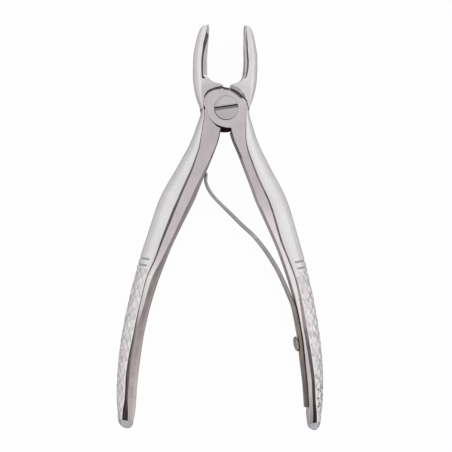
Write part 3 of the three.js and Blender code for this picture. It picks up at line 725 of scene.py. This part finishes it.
frontFinishAndPaintedLight = {
    "lean": math.radians(16), "landLift": 1.5, "lineLift": 4, "bevelLift": 2, "flankLift": 1.03,
    "land": [
        (0, 0.66), (27, 0.62), (32, 0.72), (38, 0.9), (46, (0.95, 0.99, 0.95)), (60, (0.98, 1.04, 1)),
        (70, 0.92), (80, 0.68), (90, 0.66), (98, 0.4), (103, 0.3),
    ],
    "line": [
        (0, 0.25), (8, 0.37), (18, 0.5), (25, 0.75), (30, 0.5), (36, 0.6), (44, 0.55), (52, 0.8), (58, 1),
        (68, 0.9), (76, 0.4), (84, 0.3), (91, 0.2), (96, 0.1), (103, 0.06),
    ],
    "pits": [(0, 0), (84, 0), (89, 1), (97, 1), (99.5, 0), (103, 0)],
    "root": [(-10.2, 1), (-8.9, (0.83, 0.81, 0.81)), (-7.4, (0.76, 0.74, 0.74)), (0, (0.76, 0.74, 0.74))],
    "bevel": [(0, 0.57), (16, 0.62), (24, 0.8), (46, 0.82), (62, 0.9), (75, 1), (96, 1), (103, 0.6)],
}
# the spring is browner and darker towards its held end
leafFinish = [
    (0, 1), (48, 1), (58, (0.9, 0.83, 0.81)), (68, (0.8, 0.71, 0.69)), (80, (0.66, 0.57, 0.55)),
    (90, (0.42, 0.36, 0.35)), (103, (0.3, 0.25, 0.25)),
]


# gives a shader node's inputs their values, or links them where a value is another node's output
def fed(tree, node, inputs):
    for name, value in inputs.items():
        if isinstance(value, bpy.types.NodeSocket):
            tree.links.new(value, node.inputs[name])
        else:
            node.inputs[name].default_value = value
    return node


# new shader node with its settings by name and its inputs by name or number
def added(tree, kind, inputs, **settings):
    node = tree.nodes.new("ShaderNode" + kind)
    for name, value in settings.items():
        setattr(node, name, value)
    return fed(tree, node, inputs)


# colour read at fac from a ramp through a table of (place from 0 to 1, grey or colour)
def ramped(tree, fac, table):
    ramp = added(tree, "ValToRGB", {"Fac": fac})
    stops = ramp.color_ramp.elements
    stops[0].position, stops[1].position = table[0][0], table[-1][0]
    for place, _ in table[1:-1]:
        stops.new(place)
    for stop, (_, value) in zip(stops, table):
        stop.color = (*np.broadcast_to(value, 3), 1)
    return ramp.outputs["Color"]


# brushed steel: mottled between two colours, brushed along the piece by stretched noise, rougher in patches,
# and lighter where the surface bulges to an edge; shade is a table of (millimetres down the arm, brightness)
# that paints light and shade along the arm, or for the grip how much its pits, painted shade, show
def steel(kind, lean=0.0, shade=None, lift=1.0):
    light, dark, rough, spread, brush, mottle = surfaces[kind]
    light, dark = (tuple(c * lift for c in colour) for colour in (light, dark))
    look, g = steelLook, gripLook
    material = bpy.data.materials.new(kind + ("Right" if lean > 0 else "Left" if lean < 0 else ""))
    material.use_nodes = True
    tree = material.node_tree
    coords = added(tree, "TexCoord", {}).outputs["Object"]
    bulge = added(tree, "NewGeometry", {}).outputs["Pointiness"]

    def noise(scale, detail, longer=1):
        turn = {"Vector": coords, "Rotation": (0, 0, lean), "Scale": (1, longer, 1)}
        place = added(tree, "Mapping", turn, vector_type="TEXTURE").outputs["Vector"]
        return added(tree, "TexNoise", {"Vector": place, "Scale": scale, "Detail": detail}).outputs[0]

    def cells(scale):
        return added(tree, "TexVoronoi", {"Vector": coords, "Scale": scale}).outputs["Distance"]

    def spreadTo(value, low, high, between=(0.3, 0.7)):
        names = ("Value", "From Min", "From Max", "To Min", "To Max")
        return added(tree, "MapRange", dict(zip(names, (value, *between, low, high)))).outputs["Result"]

    def mixed(blend, factor, a, b):
        return added(tree, "Mix", {0: factor, 6: a, 7: b}, data_type="RGBA", blend_type=blend).outputs[2]

    brushed = noise(look["brushScale"], 3, look["brushLonger"])
    colour = mixed("MIX", spreadTo(noise(mottle, 4), 0, 1), (*dark, 1), (*light, 1))
    colour = mixed("MULTIPLY", spreadTo(brushed, 0, look["brushShare"]), colour, look["brushTint"])
    lighter = (*(min(look["wornMost"], c * look["wornLift"]) for c in light), 1)
    colour = mixed("MIX", spreadTo(bulge, 0, look["wornShare"], look["wornFrom"]), colour, lighter)
    if shade:
        start, end = shade[0][0], shade[-1][0]
        place = added(tree, "Attribute", {}, attribute_name="down").outputs["Fac"]
        stops = [((down - start) / (end - start), value) for down, value in shade]
        shown = ramped(tree, spreadTo(place, 0, 1, (start, end)), stops)
    if kind == "grip":                      # duller in patches; painted shade between the pips and in small pits
        dullAndHollowShade = (*(c * g["dullAndHollowShade"] for c in dark), 1)
        patches = spreadTo(cells(g["patchScale"]), 0, g["patchShare"], g["patchFrom"])
        colour = mixed("MIX", patches, colour, dullAndHollowShade)
        colour = mixed("MIX", spreadTo(bulge, g["hollowShadeShare"], 0, g["hollowFrom"]), colour, dullAndHollowShade)
        pits = spreadTo(cells(g["pitScale"]), g["pitShare"], 0, g["pitFrom"])
        colour = mixed("MIX", shown, colour, mixed("MIX", pits, colour, g["pitShadeColour"]))
    elif shade:
        colour = mixed("MULTIPLY", 1.0, colour, shown)
    bump = {"Strength": brush, "Distance": look["brushHeight"], "Height": brushed}
    fed(tree, tree.nodes["Principled BSDF"], {
        "Metallic": 1, "Specular Tint": look["edgeOn"], "Base Color": colour,
        "Roughness": spreadTo(noise(mottle * look["roughScale"], 5), rough - spread, rough + spread),
        "Normal": added(tree, "Bump", bump).outputs["Normal"],
    })
    return material


# materials of an arm, in the order of its zones, with their painted light and shade; a lift makes up for what
# a table of brightness takes away
def armFinishesAndPaintedLight(finishAndPaintedLight):
    lean = finishAndPaintedLight["lean"]
    return [
        steel("satin", lean, finishAndPaintedLight["land"], finishAndPaintedLight["landLift"]),
        steel("polished", lean, None, finishAndPaintedLight["flankLift"]),
        steel("grip", lean, finishAndPaintedLight["pits"]), steel("line", lean, finishAndPaintedLight["line"], finishAndPaintedLight["lineLift"]),
        steel("bevel", lean, finishAndPaintedLight["bevel"], finishAndPaintedLight["bevelLift"]),
        *[steel(kind, lean) for kind in ("band", "lap", "rimHighlight", "cap", "groove")],
        steel("root", lean, finishAndPaintedLight["root"], finishAndPaintedLight["flankLift"]),
    ]


# says which body a piece rides on and which node it replaces
def seatIn(made, bodyName, node):
    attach(made, bodyName)
    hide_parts(node)


spring = {
    "thick": 1.1, "tipThick": 0.8, "wide": 5, "tipWide": 3.6,
    "heldThick": 0.18,              # how much thicker the held end is, towards the handle
    "endGap": 7.4, "held": 31.6, "tipDown": 20.8, "tipGap": 0.03,
    "endSeat": 0.45,                # how far the held end sinks into the handle's ground face
    "seatAfter": 3,                 # from the screw to where it starts to sink
    "cornerPower": 0.32,            # how square the strip's section is, 1 for an oval and 0 for a rectangle
    # shares along the strip: where it narrows, thins, loses the held end's thickness and rounds off
    "narrowShares": (0.45, 1), "thinShares": (0.7, 1), "heldShares": (0.3, 0.45), "wornShares": (0.992, 1),
    "wornLeast": 0.12, "bendFrom": 110, "rings": 260, "around": 32, "crease": 40, "lean": math.radians(30),
    "screwUp": 19.8, "headRadius": 2.35, "headHeight": 1.2, "headEdge": 0.05, "headGap": 0.25,
    "shank": 1.2, "shankReach": 3.2, "shankEdge": 0.2, "bore": 0.3, "slotWidth": 0.6, "slotDepth": 0.5,
    # from where the leaf lifts off the handle to its tip: shares along, then across
    "free": [
        (0.074, 0.037), (0.16, 0.084), (0.249, 0.142), (0.338, 0.219), (0.428, 0.314), (0.521, 0.436),
        (0.601, 0.578), (0.688, 0.721), (0.783, 0.878), (0.826, 0.944), (0.869, 0.995), (0.907, 1.024),
        (0.943, 1.034), (0.97, 1.024),
    ],
}
leafEnd = handles["length"] - spring["endGap"]
leafLift = leafEnd - spring["held"]
screwDown = leafEnd - spring["screwUp"]


# point of the rear handle's inner face at rest, in the closed frame of the front arm
def rearFace(down):
    inset = rearSide["inset"] * straight(rearSide["setback"], down / handles["length"])
    x = -handleInner(down) - halfGap - inset
    return spun(np.array([[x, -down, 0.0]]), -2 * tool["openHalf"])[0, :2]


# middle line of the leaf from its held end to its tip
def leafLine():
    s = spring
    touched = rearFace(s["tipDown"])
    face = rearFace(s["tipDown"] + joint["over"]) - touched
    face /= np.linalg.norm(face)
    tip = touched + np.array([-face[1], face[0]]) * (s["tipThick"] / 2 + s["tipGap"])
    down = np.linspace(leafEnd, leafLift, 10)
    sunk = s["endSeat"] * ease(screwDown + s["seatAfter"], leafEnd, down)
    held = np.column_stack([handleInner(down) + halfGap + s["thick"] / 2 + sunk, -down])
    lift = held[-1]
    free = lift + (tip - lift) * np.array(s["free"])[:, ::-1]
    points = np.vstack([held, free, tip])
    travel = np.concatenate([[0], np.cumsum(np.linalg.norm(np.diff(points, axis=0), axis=1))])
    steps = np.linspace(0, travel[-1], s["rings"])
    return np.column_stack([along(np.column_stack([travel, points[:, k]]), steps) for k in (0, 1)])


# stands a turned shape, drawn about Z, on the spring screw's axis so that its +Z runs into the handle
def onScrewAxis(points):
    over = joint["over"]
    lean = math.atan2(float(handleInner(screwDown - over) - handleInner(screwDown + over)), 2 * over)
    x, y, z = points.T
    foot = float(handleInner(screwDown)) + halfGap
    return spun(np.column_stack([z, y, -x]), lean) + np.array([foot, -screwDown, 0])


# a body with its points changed by a function
def moved(made, change):
    made.data.vertices.foreach_set("co", change(pointsOf(made.data)).ravel())
    made.data.update()
    return made


# hole for the spring screw, as deep as reach
def springBore(name, reach):
    radius = spring["shank"] + spring["bore"]
    return moved(bar(name, radius, -joint["over"], reach, lap, lap), onScrewAxis)


# front arm: its disc has a shoulder beside the rear beak, a web over the crotch and the screw's seat, which
# is a little wide at the lower left
def makeFrontArm():
    j, land = joint, tool["land"]
    # the pocket's wall and the screw seat's wall are painted dark as shade; the pocket's floor, the pit and
    # the seat's floor are near black as shade
    pocket = [bar("pocket", j["rearDisc"] + j["shoulderGap"], -deep, lapFace, line, lap)]
    disc = discBody(j["frontDisc"], j["frontDisc"], allRound(j["discBevel"]))
    shoulder = sector("shoulder", j["shoulder"], lapFace, land, satin)
    disc = shaped(disc, ("UNION", prism("web", j["web"], lapFace, land, satin)))
    made = arm("frontArm", frontSide, frontBeak, pocket, disc)
    least, most = j["headSeatGap"]
    wider = np.maximum(0, np.cos(turnAngles - j["headSeatWide"]))
    seatRow = pivot["head"] + least + (most - least) * wider
    shaped(
        made, ("UNION", shoulder),
        ("DIFFERENCE", prism("pit", j["pit"], land - j["pitDepth"], deep, lap)),
        ("DIFFERENCE", bar("headSeat", seatRow, land - j["headSink"], deep, line, lap)),
        ("DIFFERENCE", springBore("springBore", spring["shankReach"] + spring["bore"])),
    )
    finished(made, atRest, armFinishesAndPaintedLight(frontFinishAndPaintedLight))
    seatIn(made, "front", "front_arm")
    print("front arm", len(made.data.polygons), "faces")


# rear arm: its beak root has a sloping ledge round the front disc, its handle a gap that opens to the crotch
def makeRearArm():
    j, crest, radius = joint, tool["crest"], joint["frontDisc"]
    below = -np.degrees(turnAngles)
    gap = j["gap"] + sum(more * ease(start, end, below) for more, start, end in j["gapGrows"])
    outer, inner, (step, drop) = radius + allRound(j["ledge"]), radius + j["ledgeInner"], j["ledgeDrop"]
    # the walls of the ledge room and the shoulder room are painted dark as shade, and so is the gap round the
    # front disc where it is wide; the pocket's floor is near black as shade
    room = turned("beakRoom", [
        (outer + j["ledgeSlope"], -deep), (outer, -crest), (outer - j["ledgeStep"], step - crest),
        (inner, drop - crest), (inner, lapFace),
    ], [line, band, band, band], (line, line))
    pocket = [
        bar("pocket", radius + gap, -deep, lapFace, np.where(gap > j["paintedShadeGap"], line, satin), lap),
        shaped(room, ("INTERSECT", halfTurn("upperSide", 0))),
        sector("shoulderRoom", j["shoulderRoom"], -deep, lapFace, line),
    ]
    disc = discBody(j["rearDisc"], j["throatFloor"], np.full(len(turnAngles), j["rearBevel"]))
    made = arm("rearArm", rearSide, rearBeak, pocket, disc)
    finished(made, lambda points: atRest(points, True), armFinishesAndPaintedLight(rearFinishAndPaintedLight))
    seatIn(made, "rear", "rear_arm")
    print("rear arm", len(made.data.polygons), "faces")


pivot = {
    "head": 3.7, "headThick": 1.5, "headUnder": 0.05, "shank": 2,
    # rounded end and head edge, as (beyond the radius, above the end or the top)
    "shankEnd": [(-0.4, 0), (-0.1, 0.18), (0, 0.45)],
    "headEdge": [(0, -0.1), (-0.04, -0.03), (-0.14, 0)],
    "slotWidth": (0.5, 0.66), "slotDepth": 0.6, "slotTurn": math.radians(9.3), "slotWall": 0.45,
    "slotEdge": 0.02, "slotOver": 1,
}


# slotted screw: profile of end, shank and flush head turned about the hinge axis, slot cut across the head
def makePivot():
    p, top, end = pivot, tool["land"], -tool["crest"]
    under, radius = top - p["headThick"], p["head"]
    profile = [
        *[(p["shank"] + out, end + up) for out, up in p["shankEnd"]],
        (p["shank"], under), (radius - p["headUnder"], under), (radius, under + p["headUnder"]),
        *[(radius + out, top + up) for out, up in p["headEdge"]],
    ]
    made = turned("pivotScrew", profile, [0] * (len(profile) - 1))
    # the slot's upper wall slopes: each ring is the slot's outline at one depth
    long, (below, above) = radius + p["slotOver"], p["slotWidth"]
    y = [[-below, -below, upper, upper] for upper in (above - p["slotWall"], above, above)]
    z = [[top - p["slotDepth"]], [top - p["slotEdge"]], [top + p["slotOver"]]]
    rings = ringsOf([-long, long, long, -long], y, z)
    rings = spun(rings.reshape(-1, 3), p["slotTurn"]).reshape(rings.shape)
    # the slot's floor, lower wall and ends are painted darker as shade, its sloping upper wall with the
    # bevel's painted shade
    shaped(made, ("DIFFERENCE", skin("slotCut", rings, np.array([1, 1, 2, 1]), (1, 1))))
    finished(made, lambda points: (points + np.array([0, 0, tool["middle"]])) * metres,
             [steel("screw"), steel("slotPaintedShade"), steel("bevel")])
    seatIn(made, "rear", "pivot_screw")
    print("pivot screw")


# leaf: a flat strip whose section is a rounded rectangle, its x and z the cosine and sine of a turn raised to
# a small power, carried along its middle line
def makeLeaf():
    s, middleLine = spring, leafLine()
    tangent = np.gradient(middleLine, axis=0)
    tangent /= np.linalg.norm(tangent, axis=1, keepdims=True)
    side = np.column_stack([-tangent[:, 1], tangent[:, 0]])
    share = np.linspace(0, 1, len(middleLine))
    half = (s["wide"] + (s["tipWide"] - s["wide"]) * ease(*s["narrowShares"], share)) / 2
    angle = np.linspace(0, 2 * math.pi, s["around"], endpoint=False)
    across, upward = (
        np.sign(wave) * np.abs(wave) ** s["cornerPower"] for wave in (np.cos(angle), np.sin(angle))
    )
    start, end = s["wornShares"]
    worn = np.sqrt(np.clip(1 - np.maximum(0, (share - start) / (end - start)) ** 2, s["wornLeast"], 1))
    thick = (s["thick"] + (s["tipThick"] - s["thick"]) * ease(*s["thinShares"], share)) * worn
    held = s["heldThick"] * (1 - ease(*s["heldShares"], share))[:, None]
    off = (across * (thick[:, None] + held) - held) / 2
    flat = middleLine[:, None] + side[:, None] * off[..., None]
    made = skin("leafSpring", ringsOf(flat[..., 0], flat[..., 1], upward * half[:, None]), 0)
    shaped(made, ("DIFFERENCE", springBore("leafBore", s["shankReach"])))
    # one steel throughout, also on the bore's wall, whose zone is lap
    finished(made, atRest, [steel("leaf", s["lean"], leafFinish)] * (lap + 1), s["crease"])
    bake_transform(made)
    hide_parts("leaf_spring")
    print("leaf spring")


# spring screw: domed head on the leaf, slotted, with its shank in the handle
def makeSpringScrew():
    s, radius, height = spring, spring["headRadius"], spring["headHeight"]
    edge = height / 3
    turn = np.linspace(math.pi / 2 - 0.02, 0, 14)
    dome = np.column_stack([radius * np.cos(turn), -edge - (height - edge) * np.sin(turn)])
    profile = [
        *dome, (radius, -s["headEdge"]), (radius - s["headEdge"], 0), (s["shank"], 0),
        (s["shank"], s["shankReach"] - s["shankEdge"]), (s["shank"] - s["shankEdge"], s["shankReach"]),
    ]
    made = turned("springScrew", profile, [0] * (len(profile) - 1))
    half, long = s["slotWidth"] / 2, radius + joint["over"]
    outline = [(-half, -long), (half, -long), (half, long), (-half, long)]
    # the slot is painted darker as shade
    slot = prism("slotCut", outline, -height - joint["over"], s["slotDepth"] - height, 1)
    shaped(made, ("DIFFERENCE", slot))
    moved(made, lambda points: onScrewAxis(points) - np.array([s["headGap"], 0, 0]))
    finished(made, atRest, [steel("dome"), steel("slotPaintedShade")])
    seatIn(made, "front", "spring_screw")
    print("spring screw")


stageLook = {
    "floorSize": 6, "floorDrop": 0.00003, "paint": (0.85, 0.85, 0.85, 1), "paintRoughness": 0.9,
    "worldColour": (0.95, 0.96, 1, 1), "worldLight": 0.8,
    "floorToCamera": 0.97, "floorToMetal": 0.5,   # how much of the floor is plain white
    # how white the world shows at heights from the horizon, 0, to overhead, 1
    "white": [(0, 0.82), (0.35, 1), (0.8, 1), (1, 0.95)],
    "lamps": [((-0.5, 0.3, 1.0), 1.1, 0.2), ((0.8, -0.1, 0.7), 1.0, 0.3)],   # place, size, watts
    "lampsAim": (0, -0.035, 0),
}


# white where the camera, or metal's mirror image, sees it; plain for all other light
def shownWhite(tree, plain, glow, toCamera, toMetal):
    path = added(tree, "LightPath", {}).outputs

    def combined(operation, a, b):
        return added(tree, "Math", {0: a, 1: b}, operation=operation).outputs[0]

    metal = combined("MAXIMUM", path["Is Glossy Ray"], path["Is Transmission Ray"])
    camera = combined("MULTIPLY", path["Is Camera Ray"], toCamera)
    seen = combined("MAXIMUM", camera, combined("MULTIPLY", metal, toMetal))
    return added(tree, "MixShader", {0: seen, 1: plain.outputs[0], 2: glow.outputs[0]}).outputs[0]


# square of pale matt paint a little below the forceps
def makeFloor():
    half, drop = stageLook["floorSize"] / 2, -stageLook["floorDrop"]
    corners = [(-half, -half, drop), (half, -half, drop), (half, half, drop), (-half, half, drop)]
    made = body("floor", corners, [[0, 1, 2, 3]], [0])
    material = bpy.data.materials.new("floorPaint")
    material.use_nodes = True
    tree = material.node_tree
    plain = fed(tree, tree.nodes["Principled BSDF"], {
        "Base Color": stageLook["paint"], "Roughness": stageLook["paintRoughness"], "Specular IOR Level": 0,
    })
    glow = added(tree, "Emission", {"Color": (1, 1, 1, 1), "Strength": 1})
    shown = shownWhite(tree, plain, glow, stageLook["floorToCamera"], stageLook["floorToMetal"])
    fed(tree, tree.nodes["Material Output"], {"Surface": shown})
    made.data.materials.append(material)


# soft light from all round, shown as white by height
def makeWorld():
    world = bpy.data.worlds.new("world")
    bpy.context.scene.world = world
    world.use_nodes = True
    tree = world.node_tree
    background = {"Color": stageLook["worldColour"], "Strength": stageLook["worldLight"]}
    plain = fed(tree, tree.nodes["Background"], background)
    way = added(tree, "TexCoord", {}).outputs["Generated"]
    height = added(tree, "SeparateXYZ", {0: way}).outputs["Z"]
    white = ramped(tree, height, stageLook["white"])
    glow = added(tree, "Background", {"Color": white, "Strength": 1})
    shown = shownWhite(tree, plain, glow, 1, 1)
    fed(tree, tree.nodes["World Output"], {"Surface": shown})


# soft square lamps turned towards the middle of the tool
def makeLamps():
    aim = Vector(stageLook["lampsAim"])
    for n, (place, size, power) in enumerate(stageLook["lamps"]):
        light = bpy.data.lights.new(f"lamp{n}", "AREA")
        light.size = size
        light.energy = power
        made = bpy.data.objects.new(f"lamp{n}", light)
        made.location = place
        made.rotation_euler = (aim - Vector(place)).to_track_quat("-Z", "Y").to_euler()
        bpy.context.collection.objects.link(made)


view = {
    "target": (0.0009, -0.0366, 0.0043),  # middle of the picture, on the forceps' middle plane
    "distance": 1.0,
    "width": 0.1401,                       # what the picture spans at the target
    "lean": math.radians(5.3),             # the camera stands a little to the left of overhead
    "roll": math.radians(1.02),
}


# camera looking down from above, leant about Y by lean and rolled by roll
def makeCamera():
    data = bpy.data.cameras.new("camera")
    data.angle = 2 * math.atan(view["width"] / 2 / view["distance"])
    camera = bpy.data.objects.new("camera", data)
    away = Vector((-math.sin(view["lean"]), 0, math.cos(view["lean"])))
    up = Vector((-math.sin(view["roll"]), math.cos(view["roll"]), 0))
    right = up.cross(away).normalized()
    up = away.cross(right).normalized()
    spin = Matrix((right, up, away)).transposed().to_4x4()
    camera.matrix_world = Matrix.Translation(Vector(view["target"]) + away * view["distance"]) @ spin
    bpy.context.collection.objects.link(camera)
    bpy.context.scene.camera = camera


makeFrontArm()
makeRearArm()
makePivot()
makeLeaf()
makeSpringScrew()
print("floor, light and camera")
makeFloor()
makeWorld()
makeLamps()
makeCamera()
bpy.context.scene.view_settings.view_transform = "Standard"
